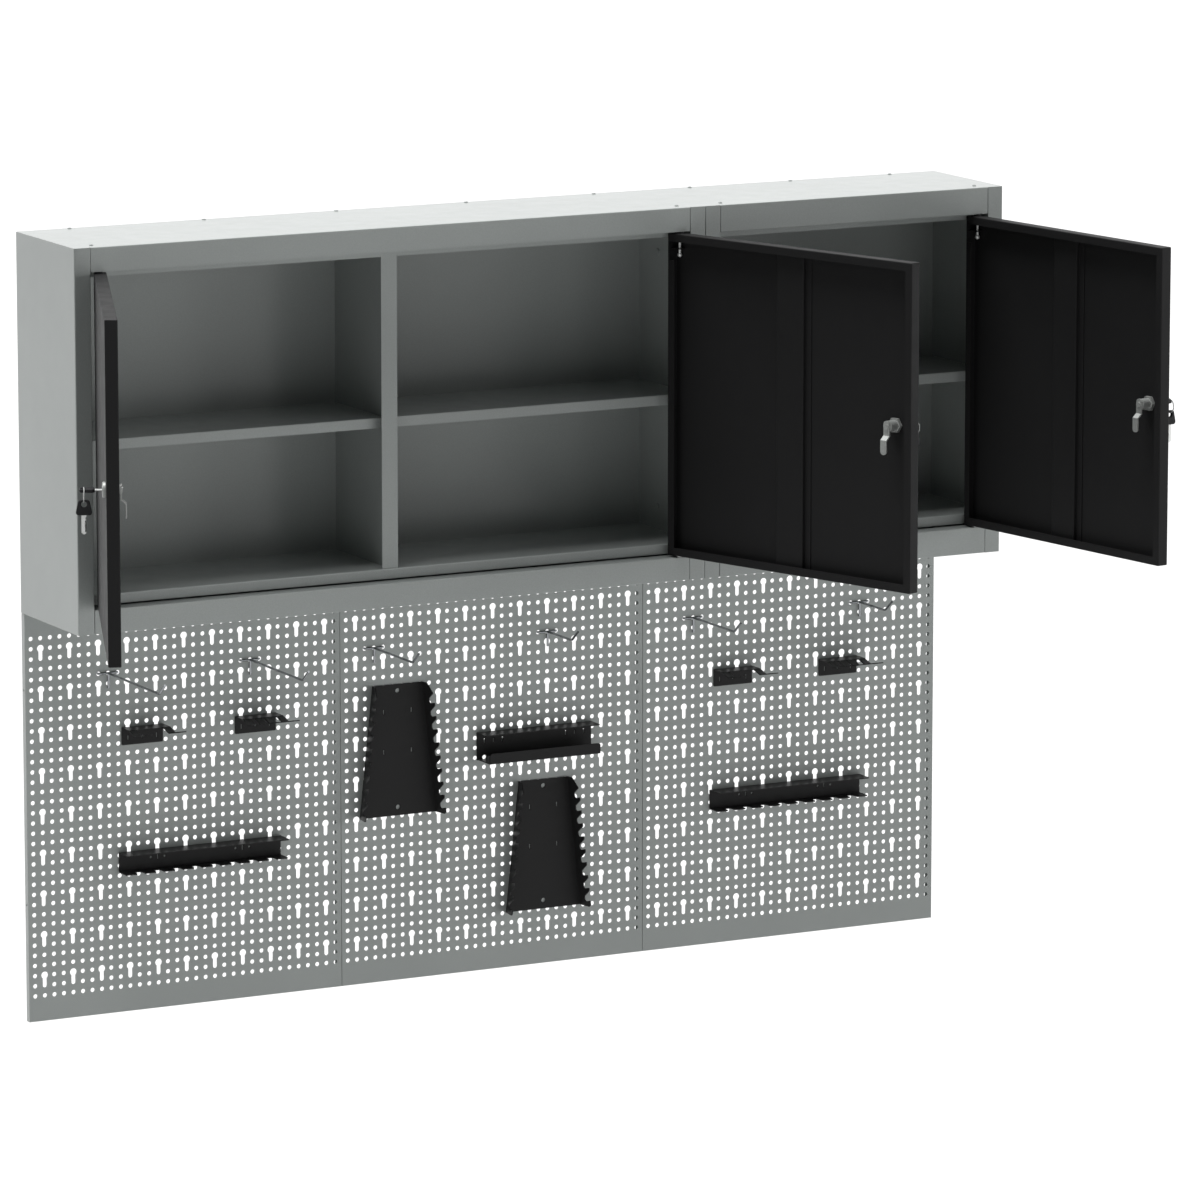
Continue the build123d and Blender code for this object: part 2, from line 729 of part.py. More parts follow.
    ring_x = lock_x + ring_side
    ring_z = -up * ring_drop
    ring_low = math.sqrt(ring_d**2 - bow_t**2) / 2
    spare_hole_z = ring_z - up * (ring_low - ring_wire / 2 + bow_hole_d / 2 - run_clear)
    shoulder_z = spare_hole_z - up * (bow_l - bow_hole_edge)
    tip_z = shoulder_z - up * spare_l
    hang = Plane(origin=axis.from_local_coords((ring_x - bow_t / 2, hole_y, shoulder_z)),
                 x_dir=axis.y_dir * up, z_dir=axis.x_dir)
    with BuildPart(axis) as ring:
        with Locations(Plane(origin=(ring_x, hole_y, ring_z), x_dir=(1, 0, 0), z_dir=(0, 1, 0))):
            Torus(ring_d / 2, ring_wire / 2)
    with BuildPart() as spare_head:
        with BuildSketch(hang):
            add(bow.rotate(Axis.Z, 180))
        extrude(amount=bow_t)
    with BuildPart(axis) as spare_key:
        add(axis.to_local_coords(spare_head.part))
        slab((ring_x - key_blade_t / 2, ring_x + key_blade_t / 2),
             (hole_y - key_blade_w / 2, hole_y + key_blade_w / 2), (shoulder_z + up * run_clear, tip_z))
        for i in range(spare_notches):
            notch_z = tip_z + up * spare_l * (i + 0.5) / (spare_notches + 1)
            rod((ring_x - bow_t, hole_y - key_blade_w / 2, notch_z),
                (ring_x + bow_t, hole_y - key_blade_w / 2, notch_z), 2 * spare_notch, Mode.SUBTRACT)
    keep_group([ring.part.solid(), spare_key.part.solid()], f"{name}_key_ring")


door("left", left_open, 1, wide_door_w, wide_door_h)
door("middle", middle_open, -1, wide_door_w, wide_door_h)
door("right", right_open, -1, narrow_door_w, narrow_door_h)


# Tool holders

def hooks(name, reach, places):
    """Wire hooks: a bar with two pegs, a leg and an arm with a raised tip."""
    with BuildPart() as piece:
        for panel, column in places:
            x, z = spot(panel, column, hook_row)
            bar_y = face_y - hook_wire / 2
            peg_y = face_y + hook_peg
            with BuildLine() as bar:
                FilletPolyline((x - pitch, peg_y, z), (x - pitch, bar_y, z), (x + pitch, bar_y, z),
                               (x + pitch, peg_y, z), radius=hook_wire)
            with BuildSketch(Plane(origin=bar.line @ 0, z_dir=bar.line % 0)):
                Circle(hook_wire / 2)
            sweep()
            with BuildLine() as arm:
                FilletPolyline((x, bar_y, z), (x, face_y - reach + hook_tip, z),
                               (x, face_y - reach, z + hook_rise), radius=hook_bend)
            with BuildSketch(Plane(origin=arm.line @ 0, z_dir=arm.line % 0)):
                Circle(hook_wire / 2)
            sweep()
            rod((x, bar_y, z), (x, bar_y, z - hook_leg), hook_wire)
    keep(piece, name)


def tabs(places):
    """Tongues that hang in the slots of keyholes, with their heads behind the panel."""
    behind = face_y + steel + tab_clear
    neck = behind + 2 * holder_steel - face_y
    with Locations(*[(x, face_y - holder_steel + neck / 2, z - tab_low + tab_h / 2) for x, z in places]):
        Box(tab_w, neck, tab_h)
    with Locations(*[(x, behind + holder_steel / 2, z) for x, z in places]):
        Box(tab_head_w, holder_steel, tab_head_h)


def slits(places):
    """Upright slits in a back plate."""
    with Locations(*[(x, face_y - holder_steel / 2, z) for x, z in places]):
        Box(slit_w, holder_steel, slit_h, mode=Mode.SUBTRACT)


def drilled(places, diameter):
    """Round holes in a back plate."""
    with Locations(*[Plane(origin=(x, face_y, z), z_dir=(0, -1, 0)) for x, z in places]):
        Cylinder(diameter / 2, 2 * holder_steel, mode=Mode.SUBTRACT)


def brackets(name, places, offsets):
    """Small brackets with flat prongs that sag a little and rise to the tip."""
    with BuildPart() as piece:
        for panel, column in places:
            x, z = spot(panel, column, bracket_row)
            top = z + bracket_up
            half = bracket_w / 2
            slab((x - half, x + half), (face_y - holder_steel, face_y), (z - bracket_down, top))
            slab((x - half, x + half), (face_y - bracket_flange, face_y), (top - holder_steel, top))
            for shift in offsets:
                with BuildSketch(Plane.YZ.offset(x + shift - prong_w / 2)):
                    with BuildLine():
                        Polyline((face_y - bracket_flange + holder_steel, top),
                                 (face_y - prong_sag_at, top - prong_sag),
                                 (face_y - prong_reach, top + prong_rise))
                        offset(amount=holder_steel, side=Side.LEFT, kind=Kind.INTERSECTION)
                    make_face()
                extrude(amount=prong_w)
            hang = [x - bracket_tab_columns * pitch / 2, x + bracket_tab_columns * pitch / 2]
            slits([(tab_x, z - slit_drop) for tab_x in hang])
            drilled([(x, z - slit_drop)], small_hole_d)
            tabs([(tab_x, z) for tab_x in hang])
    keep(piece, name)


def screwdriver_rack(name, panel, column):
    """Channel with a plain upper shelf and a notched lower one."""
    x, z = spot(panel, column, rack_row)
    half = rack_w / 2
    top = z + rack_up
    low = z - rack_down
    tip = face_y - rack_bottom
    with BuildPart() as piece:
        slab((x - half, x + half), (face_y - holder_steel, face_y), (low, top))
        slab((x - half, x + half), (face_y - rack_top, face_y), (top - holder_steel, top))
        slab((x - half, x + half), (tip, face_y), (low, low + holder_steel))
        with BuildSketch(Plane.XY.offset(low)):
            with Locations((x, tip)):
                with GridLocations(notch_step, 0, notch_count, 1):
                    SlotOverall(2 * notch_l, notch_w, rotation=90)
        extrude(amount=holder_steel, mode=Mode.SUBTRACT)
        hang = [x - rack_tab_columns * pitch / 2, x + rack_tab_columns * pitch / 2]
        slits([(tab_x, z - slit_drop) for tab_x in hang])
        drilled([(tab_x + side * rack_hole_shift, z - slit_drop) for tab_x in hang for side in (-1, 1)],
                small_hole_d)
        tabs([(tab_x, z) for tab_x in hang])
    keep(piece, name)


def wrench_rack(name, panel, column, row):
    """Tapered plate whose two side flanges lean outwards and are toothed to carry spanners."""
    x, z = spot(panel, column, row)
    top = z + wrench_up
    low = z - wrench_down
    taper = math.atan((wrench_bottom_w - wrench_top_w) / 2 / (top - low))
    length = (top - low) / math.cos(taper)
    spread = math.radians(wrench_spread)
    forward = Vector(0, -1, 0)
    front = Plane(origin=(0, face_y, 0), x_dir=(1, 0, 0), z_dir=forward)
    with BuildSketch() as slot:
        with BuildLine():
            Polyline((0, 0), (-slot_l, -slot_dip), (-slot_l, slot_root - slot_dip),
                     (0, slot_mouth), close=True)
        make_face()
        fillet(slot.vertices().group_by(Axis.X)[0], slot_round)
    with BuildPart() as piece:
        with BuildSketch(front):
            with BuildLine():
                Polyline((x - wrench_bottom_w / 2, low), (x + wrench_bottom_w / 2, low),
                         (x + wrench_top_w / 2, top), (x - wrench_top_w / 2, top), close=True)
            make_face()
        extrude(amount=holder_steel)
        for side in (-1, 1):
            corner = Vector(x + side * wrench_bottom_w / 2, face_y, low)
            climb = Vector(-side * math.sin(taper), 0, math.cos(taper))
            out = Vector(side * math.cos(taper), 0, math.sin(taper))
            reach = out * math.sin(spread) + forward * math.cos(spread)
            wing = Plane(origin=corner, x_dir=reach, z_dir=reach.cross(climb))
            with BuildSketch(wing):
                with BuildLine():
                    Polyline((0, 0), (wrench_flange - wrench_foot, 0), (wrench_flange, wrench_foot),
                             (wrench_flange, length - wrench_corner),
                             (wrench_flange - wrench_corner, length), (0, length), close=True)
                make_face()
                with Locations(*[(wrench_flange, slot_first + i * slot_step) for i in range(slot_count)]):
                    add(slot.sketch, mode=Mode.SUBTRACT)
            extrude(amount=side * holder_steel)
        hang = [(x + side * wrench_tab_columns * pitch / 2, z - rows * wrench_tab_rows * pitch)
                for side in (-1, 1) for rows in (0, 1)]
        slits([(tab_x, tab_z - slit_drop) for tab_x, tab_z in hang])
        drilled([(x, top - wrench_hole_high), (x, low + wrench_hole_low)], wrench_hole_d)
        tabs(hang)
    keep(piece, name)


def parts_tray(name, panel, column):
    """Shallow tray with a lip in front whose ends are folded back as short cheeks."""
    x, z = spot(panel, column, tray_row)
    half = tray_w / 2
    lip = tray_lip_w / 2
    top = z + tray_up
    low = z - tray_down
    tip = face_y - tray_floor
    front = Plane(origin=(0, tip, 0), x_dir=(1, 0, 0), z_dir=(0, -1, 0))
    with BuildPart() as piece:
        slab((x - half, x + half), (face_y - holder_steel, face_y), (low, top))
        slab((x - half, x + half), (face_y - tray_top, face_y), (top - holder_steel, top))
        slab((x - lip, x + lip), (tip, face_y), (low, low + holder_steel))
        with BuildSketch(front):
            with BuildLine():
                Polyline((x - lip, low), (x + lip, low), (x + lip, low + tray_lip - tray_lip_chamfer),
                         (x + lip - tray_lip_chamfer, low + tray_lip),
                         (x - lip + tray_lip_chamfer, low + tray_lip),
                         (x - lip, low + tray_lip - tray_lip_chamfer), close=True)
            make_face()
        extrude(amount=-holder_steel)
        for end, inward in ((x - lip, 1), (x + lip, -1)):
            high = low + tray_lip - tray_lip_chamfer
            with BuildSketch(Plane.YZ.offset(end)):
                with BuildLine():
                    Polyline((tip, low), (tip + tray_cheek, low),
                             (tip + tray_cheek, high - tray_cheek_corner),
                             (tip + tray_cheek - tray_cheek_corner, high), (tip, high), close=True)
                make_face()
            extrude(amount=inward * holder_steel)
        hang = [x - tray_tab_columns * pitch / 2, x + tray_tab_columns * pitch / 2]
        fixing = [x - tray_hole_columns * pitch / 2, x + tray_hole_columns * pitch / 2]
        drilled([(fix_x, z - tray_hole_rows * pitch) for fix_x in fixing], tray_hole_d)
        slits([(tab_x + step * pitch, z - tray_slit_drop) for tab_x in hang for step in (-1, 0, 1)])
        tabs([(tab_x, z) for tab_x in hang])
    keep(piece, name)


hooks("long_hooks", long_hook, [(0, 8), (0, 23)])
hooks("middle_hooks", middle_hook, [(1, 3), (2, 5)])
hooks("short_hooks", short_hook, [(1, 22), (2, 24)])
brackets("two_prong_brackets", [(0, 11.5), (2, 9.5)], (-prong_outer, prong_outer))
brackets("four_prong_brackets", [(0, 23.5), (2, 21.5)],
         (-prong_outer, -prong_inner, prong_inner, prong_outer))
screwdriver_rack("left_screwdriver_rack", 0, 17.5)
screwdriver_rack("right_screwdriver_rack", 2, 15.5)
wrench_rack("upper_wrench_rack", 1, 5.5, 10)
wrench_rack("lower_wrench_rack", 1, 21.5, 21)
parts_tray("parts_tray", 1, 20.5)
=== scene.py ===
# %% [markdown]
# # A steel tool wall
#
# The object is a workshop wall set: two sheet-steel cabinets with open black doors above three
# perforated panels, which carry wire hooks, brackets, racks and a tray. Its construction comes
# from a CAD model that is already at its real size, so this lesson does not place or resize any
# part. It gives every part its finish, rounds the bent edges of the sheet metal, models the small
# hardware more finely and sets up the light and the camera. All sizes are in metres.

# %% Load the model
import json
import math

import bmesh
import bpy
import numpy as np
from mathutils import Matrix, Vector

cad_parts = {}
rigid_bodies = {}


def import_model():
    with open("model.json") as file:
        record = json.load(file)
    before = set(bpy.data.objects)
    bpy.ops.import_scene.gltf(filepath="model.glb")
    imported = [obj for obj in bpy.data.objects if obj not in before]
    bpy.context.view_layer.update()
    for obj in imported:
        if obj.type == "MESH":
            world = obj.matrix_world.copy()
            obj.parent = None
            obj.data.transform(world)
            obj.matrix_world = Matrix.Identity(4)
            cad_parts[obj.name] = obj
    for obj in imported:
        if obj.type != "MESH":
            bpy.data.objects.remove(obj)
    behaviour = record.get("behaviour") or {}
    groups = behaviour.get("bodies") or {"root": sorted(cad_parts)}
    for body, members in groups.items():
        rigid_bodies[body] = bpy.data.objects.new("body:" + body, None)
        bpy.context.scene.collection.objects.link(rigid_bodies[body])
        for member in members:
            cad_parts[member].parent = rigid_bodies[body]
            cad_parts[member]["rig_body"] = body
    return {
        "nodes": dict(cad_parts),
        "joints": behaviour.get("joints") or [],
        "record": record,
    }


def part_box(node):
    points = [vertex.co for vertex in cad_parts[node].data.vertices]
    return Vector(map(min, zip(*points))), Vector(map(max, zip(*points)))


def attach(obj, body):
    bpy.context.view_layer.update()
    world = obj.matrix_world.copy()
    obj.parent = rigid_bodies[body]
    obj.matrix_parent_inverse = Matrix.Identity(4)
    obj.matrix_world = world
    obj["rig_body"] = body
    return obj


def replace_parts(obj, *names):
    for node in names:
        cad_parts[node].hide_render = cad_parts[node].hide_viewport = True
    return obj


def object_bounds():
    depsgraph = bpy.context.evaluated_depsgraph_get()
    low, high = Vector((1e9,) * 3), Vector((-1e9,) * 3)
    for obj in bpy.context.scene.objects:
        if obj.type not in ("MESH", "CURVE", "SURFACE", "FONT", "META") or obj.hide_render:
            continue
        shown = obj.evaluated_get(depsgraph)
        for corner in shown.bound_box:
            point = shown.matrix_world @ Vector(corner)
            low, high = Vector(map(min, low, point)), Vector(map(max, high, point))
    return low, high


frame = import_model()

nodes = frame["nodes"]
cad_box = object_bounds()
scene = bpy.context.scene
print("CAD nodes:", len(nodes))
print("CAD box:", [round(v, 4) for corner in cad_box for v in corner])

# %% [markdown]
# ## The camera
#
# The set is seen from the left and a little from above, through a long lens, so its upright lines
# stay nearly parallel. The lens is given by its focal length in pixels of a square picture, because
# that is what a fit to the picture's straight lines gives, and the sensor width turns it into
# millimetres. Its turn and its tilt are in degrees.

# %% Camera
picture_px = 1200
focal_px = 7741
camera_place = (-5.033, -10.055, 1.730)
camera_turn = 27.42
camera_tilt = 10.33

camera = bpy.data.objects.new("camera", bpy.data.cameras.new("camera"))
camera.data.lens = focal_px / picture_px * camera.data.sensor_width
camera.location = camera_place
camera.rotation_euler = (math.radians(90 - camera_tilt), 0, math.radians(-camera_turn))
scene.collection.objects.link(camera)
scene.camera = camera
print("lens:", round(camera.data.lens, 1), "mm")

# %% [markdown]
# ## The surround
#
# A product picture of this kind stands on a white ground. A white world would do that alone, but it
# would also light every sheet from all sides and take the modelling away. So the world has two faces:
# the camera and shiny surfaces see plain white, and the sheets get hardly any light from it.

# %% World
surround_level = 0.02
surround_colour = (0.97, 1.0, 0.99, 1)
plain_white = (1, 1, 1, 1)


def link(tree, source, target):
    """Joins an output socket to an input socket."""
    tree.links.new(source, target)


def add_node(tree, kind, **settings):
    """A new node of the given kind, with its settings."""
    made = tree.nodes.new(kind)
    for key, value in settings.items():
        setattr(made, key, value)
    return made


def seen_directly(tree):
    """The greatest of three marks: 1 for rays from the camera, a shiny surface or a clear one, else 0."""
    path = add_node(tree, "ShaderNodeLightPath")
    first = add_node(tree, "ShaderNodeMath", operation="MAXIMUM")
    second = add_node(tree, "ShaderNodeMath", operation="MAXIMUM")
    link(tree, path.outputs["Is Camera Ray"], first.inputs[0])
    link(tree, path.outputs["Is Glossy Ray"], first.inputs[1])
    link(tree, first.outputs[0], second.inputs[0])
    link(tree, path.outputs["Is Transmission Ray"], second.inputs[1])
    return second.outputs[0]


world = bpy.data.worlds.new("studio")
world.use_nodes = True
scene.world = world
tree = world.node_tree
soft = tree.nodes["Background"]
soft.inputs["Color"].default_value = surround_colour
soft.inputs["Strength"].default_value = surround_level
white = add_node(tree, "ShaderNodeBackground")
white.inputs["Color"].default_value = plain_white
choose = add_node(tree, "ShaderNodeMixShader")
link(tree, seen_directly(tree), choose.inputs[0])
link(tree, soft.outputs[0], choose.inputs[1])
link(tree, white.outputs[0], choose.inputs[2])
link(tree, choose.outputs[0], tree.nodes["World Output"].inputs["Surface"])
scene.view_settings.view_transform = "Standard"
print("surround level:", surround_level)

# %% [markdown]
# ## The lamps
#
# Three broad, soft lights give the modelling. One is almost overhead, a little to the left and behind,
# and brightens the roofs and the left side wall. One is level on the right, reaches into the cabinets
# and glints on the doors' front edges. A weak one stands above the camera and to its right. They are
# suns with a wide angle: area lamps would look alike, but a sun is equally strong along the whole width.

# %% Lamps
soft_angle = math.radians(40)
lamp_distance = 3
lamps = {
    "high_left": {"direction": (-0.20, 0.13, 0.97), "energy": 5.7},
    "level_right": {"direction": (0.88, -0.44, -0.10), "energy": 2.6},
    "above_camera": {"direction": (0.30, -0.50, 0.80), "energy": 0.30},
}


def add_lamp(name, direction, energy):
    """A broad light that shines from the given direction: its -Z axis is turned against it."""
    lamp = bpy.data.objects.new(name, bpy.data.lights.new(name, "SUN"))
    toward = -np.array(direction) / np.linalg.norm(direction)
    lamp.rotation_euler = (math.acos(-toward[2]), 0, math.atan2(-toward[0], toward[1]))
    lamp.location = -lamp_distance * toward
    lamp.data.energy = energy
    lamp.data.angle = soft_angle
    scene.collection.objects.link(lamp)


for name, lamp in lamps.items():
    add_lamp(name, **lamp)
print("lamps:", list(lamps))

# %% [markdown]
# ## The floor
#
# The set hangs on a wall, so the floor lies well below the panels. It is a plain pale sheet that the
# lamps light, so it keeps the set's soft shadow, and a faint glow that only the camera and shiny
# surfaces see lifts it to white. Its underside is clear, so that a view from below is not blocked.

# %% Floor
floor_drop = 0.95
floor_half = 30.0
floor_pale = (0.55, 0.55, 0.55, 1)
floor_glow = (0.10, 0.10, 0.10, 1)
floor_roughness = 0.9
floor_z = cad_box[0][2] - floor_drop

floor_mesh = bpy.data.meshes.new("floor")
corners = [(floor_half * x, floor_half * y, floor_z) for x, y in ((-1, -1), (1, -1), (1, 1), (-1, 1))]
floor_mesh.from_pydata(corners, [], [(0, 1, 2, 3)])
floor = bpy.data.objects.new("floor", floor_mesh)
scene.collection.objects.link(floor)

pale = bpy.data.materials.new("pale_floor")
pale.use_nodes = True
tree = pale.node_tree
matt = tree.nodes["Principled BSDF"]
matt.inputs["Base Color"].default_value = floor_pale
matt.inputs["Roughness"].default_value = floor_roughness
matt.inputs["Emission Color"].default_value = floor_glow
link(tree, seen_directly(tree), matt.inputs["Emission Strength"])
clear = add_node(tree, "ShaderNodeBsdfTransparent")
under = add_node(tree, "ShaderNodeNewGeometry")
sides = add_node(tree, "ShaderNodeMixShader")
link(tree, under.outputs["Backfacing"], sides.inputs[0])
link(tree, matt.outputs[0], sides.inputs[1])
link(tree, clear.outputs[0], sides.inputs[2])
link(tree, sides.outputs[0], tree.nodes["Material Output"].inputs["Surface"])
floor_mesh.materials.append(pale)
print("floor height:", round(floor_z, 3))

# %% [markdown]
# ## Finishes
#
# Every finish here is made of noise, read from Object coordinates. These are metres in the set's own
# frame, so a grain keeps its real size on every part, and no picture or unwrapping is needed. A few
# helpers build the chains of nodes: a noise, its spread over a range, a tint and a bump.

# %% Finish helpers
noise_middle = (0.3, 0.7)


def new_finish(name):
    """A new material with its node tree and its shader."""
    finish = bpy.data.materials.new(name)
    finish.use_nodes = True
    return finish, finish.node_tree, finish.node_tree.nodes["Principled BSDF"]


def noise(tree, scale, detail):
    """Noise of so many cells per metre, with the given number of finer layers."""
    place = add_node(tree, "ShaderNodeTexCoord")
    field = add_node(tree, "ShaderNodeTexNoise")
    field.inputs["Scale"].default_value = scale
    field.inputs["Detail"].default_value = detail
    link(tree, place.outputs["Object"], field.inputs["Vector"])
    return field.outputs["Fac"]


def spread(tree, field, low, high):
    """Maps the middle of a noise evenly to the range from low to high, and cuts off what lies outside."""
    made = add_node(tree, "ShaderNodeMapRange")
    made.inputs["From Min"].default_value = noise_middle[0]
    made.inputs["From Max"].default_value = noise_middle[1]
    made.inputs["To Min"].default_value = low
    made.inputs["To Max"].default_value = high
    link(tree, field, made.inputs["Value"])
    return made.outputs[0]


def product(tree, first, second):
    """One factor times another."""
    made = add_node(tree, "ShaderNodeMath", operation="MULTIPLY")
    link(tree, first, made.inputs[0])
    link(tree, second, made.inputs[1])
    return made.outputs[0]


def tint(tree, factor, colour, target):
    """A colour times a grey factor, sent to a colour socket."""
    mixed = add_node(tree, "ShaderNodeMix", data_type="RGBA", blend_type="MULTIPLY")
    mixed.inputs["Factor"].default_value = 1.0
    mixed.inputs["A"].default_value = (*colour, 1)
    link(tree, factor, mixed.inputs["B"])
    link(tree, mixed.outputs["Result"], target)


def bump(tree, shader, field, height):
    """Tilts the shading as if the surface rose by the noise times the height, in metres."""
    made = add_node(tree, "ShaderNodeBump")
    made.inputs["Strength"].default_value = 1.0
    made.inputs["Distance"].default_value = height
    link(tree, field, made.inputs["Height"])
    link(tree, made.outputs["Normal"], shader.inputs["Normal"])


print("a noise is spread from", noise_middle)

# %% [markdown]
# Powder coat is a paint that melts into a skin with a very fine orange-peel surface. A noise of about
# two millimetres gives that peel as bump, a finer one gives the specks of the powder, and broad ones
# make tone and sheen drift slowly across each sheet. The grey coat also has a thin clear skin, which
# shines at a flat angle. The doors are a little duller than the tool holders.

# %% Powder coats
speck_cells = 1100
peel_cells = 520
sheen_cells = 35
drift_cells = 5
speck_range = (0.95, 1.05)
drift_range = (0.97, 1.03)
sheen_half = 0.04
glaze_roughness = 0.2
glaze_ior = 1.3


def powder_coat(name, colour, roughness, reflect, peel_height, glaze=0.0):
    """Colour times specks times drift, with drifting sheen, orange peel and a clear glaze where asked."""
    finish, tree, shader = new_finish(name)
    specks = spread(tree, noise(tree, speck_cells, detail=1), *speck_range)
    drift = spread(tree, noise(tree, drift_cells, detail=3), *drift_range)
    tint(tree, product(tree, specks, drift), colour, shader.inputs["Base Color"])
    patches = noise(tree, sheen_cells, detail=4)
    sheen = spread(tree, patches, roughness - sheen_half, roughness + sheen_half)
    link(tree, sheen, shader.inputs["Roughness"])
    shader.inputs["Specular IOR Level"].default_value = reflect
    shader.inputs["Coat Weight"].default_value = glaze
    shader.inputs["Coat Roughness"].default_value = glaze_roughness
    shader.inputs["Coat IOR"].default_value = glaze_ior
    bump(tree, shader, noise(tree, peel_cells, detail=2), peel_height)
    return finish


grey_paint = powder_coat("grey_powder_coat", (0.286, 0.306, 0.298),
                         roughness=0.44, reflect=0.16, peel_height=0.00005, glaze=1.0)
door_paint = powder_coat("black_door_coat", (0.0130, 0.0130, 0.0133),
                         roughness=0.50, reflect=0.075, peel_height=0.00004)
holder_paint = powder_coat("black_holder_coat", (0.016, 0.016, 0.0162),
                           roughness=0.38, reflect=0.10, peel_height=0.00003)
print("powder coats:", grey_paint.name, door_paint.name, holder_paint.name)

# %% [markdown]
# The hooks are bright chromed wire, the hinge pins and blades are zinc-plated steel, and the locks are
# cloudy die castings. One recipe serves for all three: patches of tone, finer patches of wear and a
# still finer grain. A cloudy plating is given as less metallic, which spreads its light like a paint.

# %% Metals
patch_range = (0.92, 1.06)
wear_range = (0.75, 1.3)
wear_finer = 3
grain_finer = 6


def bare_metal(name, colour, metallic, roughness, patches, grain_height):
    """Metal with so many patches of tone per metre, three times as many of wear and six of grain."""
    finish, tree, shader = new_finish(name)
    shader.inputs["Metallic"].default_value = metallic
    tone = spread(tree, noise(tree, patches, detail=3), *patch_range)
    tint(tree, tone, colour, shader.inputs["Base Color"])
    smooth, worn = (roughness * share for share in wear_range)
    wear = spread(tree, noise(tree, wear_finer * patches, detail=4), smooth, worn)
    link(tree, wear, shader.inputs["Roughness"])
    bump(tree, shader, noise(tree, grain_finer * patches, detail=2), grain_height)
    return finish


chrome = bare_metal("chrome_plate", (0.25, 0.26, 0.27),
                    metallic=1.0, roughness=0.12, patches=150, grain_height=0.000004)
zinc = bare_metal("zinc_plate", (0.50, 0.51, 0.50),
                  metallic=0.65, roughness=0.42, patches=400, grain_height=0.00001)
die_cast = bare_metal("lock_die_cast", (0.31, 0.32, 0.31),
                      metallic=0.40, roughness=0.40, patches=300, grain_height=0.00001)
print("metals:", chrome.name, zinc.name, die_cast.name)

# %% [markdown]
# The key bows are moulded in black plastic with a fine eroded grain, which is dull and hardly reflects.

# %% Plastic
plastic_colour = (0.013, 0.013, 0.014)
plastic_cells = 1500
plastic_sheen_cells = 300
plastic_range = (0.85, 1.15)
plastic_roughness = (0.46, 0.58)
plastic_reflect = 0.12
plastic_grain = 0.00003

bow_plastic, tree, shader = new_finish("black_key_plastic")
grain = noise(tree, plastic_cells, detail=2)
tint(tree, spread(tree, grain, *plastic_range), plastic_colour, shader.inputs["Base Color"])
plastic_sheen = spread(tree, noise(tree, plastic_sheen_cells, detail=2), *plastic_roughness)
link(tree, plastic_sheen, shader.inputs["Roughness"])
shader.inputs["Specular IOR Level"].default_value = plastic_reflect
bump(tree, shader, grain, plastic_grain)
print("plastic:", bow_plastic.name)

# %% [markdown]
# ## Which part has which finish
#
# The record of the model names a finish slot for every part. Each slot is given its material here,
# and the doors are told apart from the tool holders, because the holders are a little glossier. The
# locks are told apart from the wire, and the bolts and screws that join the cabinets are painted over
# with the sheets that they hold.

# %% Finish of every part
slot_finish = {
    "grey_paint": grey_paint,
    "black_paint": holder_paint,
    "chrome_wire": chrome,
    "zinc_steel": zinc,
    "black_plastic": bow_plastic,
}
node_slot = {entry["node"]: entry["material_slot"] for entry in frame["record"]["subparts"]}
painted_over = ("joining_bolts", "cabinet_screws")


def dress(piece, finish):
    """Gives a piece one finish all over."""
    piece.data.materials.clear()
    piece.data.materials.append(finish)


def finish_of(name):
    """A part's finish, by its name where one slot covers two finishes, else by its slot."""
    if "_door" in name:
        return door_paint
    if "_lock_" in name:
        return die_cast
    if name in painted_over:
        return grey_paint
    return slot_finish[node_slot[name]]


for name, piece in nodes.items():
    dress(piece, finish_of(name))
print("dressed parts:", len(nodes))

# %% [markdown]
# ## Rounded folds
#
# The CAD model has sharp corners where its sheets are bent. A press brake leaves a small radius there,
# and it is that radius which draws the thin bright and dark lines along every bend. A Bevel modifier
# with an angle limit would round the cut edges too. So a fold is told from a cut edge by the faces
# beside it: at a fold both are wide, and at a cut edge one is only as wide as the sheet is thick.

# %% Fold finder
fold_reach = 0.0025
shortest_fold = 0.0005
fold_angle = math.radians(40)


def goes_round(outline, x, y):
    """Whether a flat outline encloses a point: a ray from it to the right crosses an odd number of edges."""
    ahead = np.roll(outline, -1, axis=0)
    crossing = (outline[:, 1] > y) != (ahead[:, 1] > y)
    start, end = outline[crossing], ahead[crossing]
    at = start[:, 0] + (y - start[:, 1]) / (end[:, 1] - start[:, 1]) * (end[:, 0] - start[:, 0])
    return np.count_nonzero(at > x) % 2 == 1


def reaches(loop):
    """Whether the face beside an edge holds a point that lies farther in than the sheet is thick."""
    corners = np.array([v.co for v in loop.face.verts])
    start = np.array(loop.vert.co)
    end = np.array(loop.link_loop_next.vert.co)
    along = (end - start) / np.linalg.norm(end - start)
    inward = np.cross(np.array(loop.face.normal), along)
    away = corners - (start + end) / 2
    return goes_round(np.stack((away @ along, away @ inward), 1), 0.0, fold_reach)


def folds(sheet, convex):
    """Groups of fold edges that meet at corners, kept in the sheet's own order so each run is alike."""
    waiting = {}
    for edge in sheet.edges:
        if len(edge.link_faces) != 2 or edge.calc_length() < shortest_fold:
            continue
        if edge.is_convex == convex and edge.calc_face_angle() > fold_angle:
            if all(reaches(loop) for loop in edge.link_loops):
                waiting[edge] = True
    groups = []
    while waiting:
        group = [next(iter(waiting))]
        waiting.pop(group[0])
        for edge in group:
            for vert in edge.verts:
                group.extend(e for e in vert.link_edges if waiting.pop(e, False))
        groups.append(group)
    return groups


print("a fold's faces reach past", fold_reach, "m")

# %% [markdown]
# Each sheet is copied, its flat triangles are joined into whole faces, the folds are rounded outside
# and inside, and the copy takes the place of the sharp one. The radii are small enough to stay within
# the sharp sheet's own box. The print gives each copy's faces and its open edges, which should be none.

